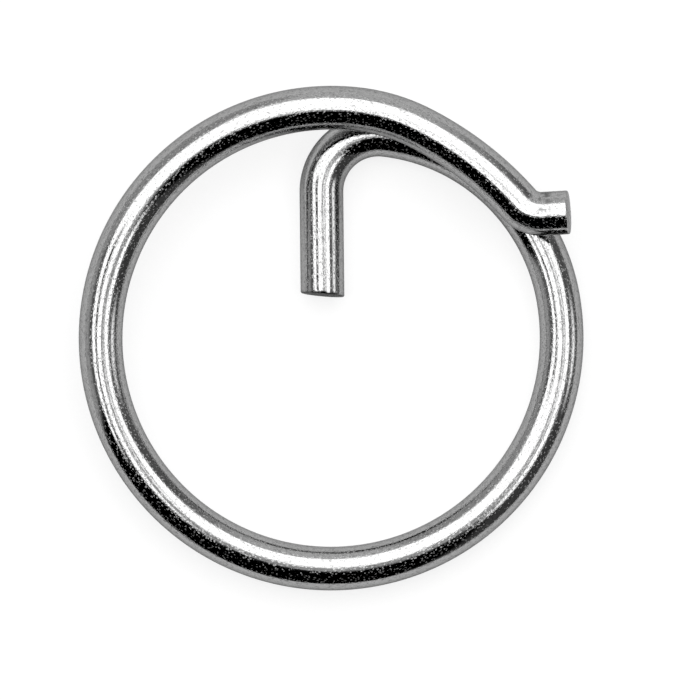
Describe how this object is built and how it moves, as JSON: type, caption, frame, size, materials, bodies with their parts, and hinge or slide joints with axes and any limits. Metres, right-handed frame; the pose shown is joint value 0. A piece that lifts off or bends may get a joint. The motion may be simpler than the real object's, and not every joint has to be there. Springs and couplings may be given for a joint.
{
  "type": "ring cotter pin",
  "caption": "Round spring wire bent flat into a lapped ring, with a straight leg inside for a clevis pin's cross hole and a kicked-out tab to open it.",
  "frame": {"origin": "ring's centre, on the surface that the ring lies on", "axes": "+Z is the ring's axis, up from the surface it lies on; the leg points along -Y; the tab points along +X"},
  "size_m": [0.023, 0.023, 0.0042],
  "materials": {
    "wire": "bright drawn stainless spring wire, fine lines along the wire and light pitting, cropped ends"
  },
  "bodies": {
    "root": {"cotter_ring": "wire"}
  },
  "joints": []
}
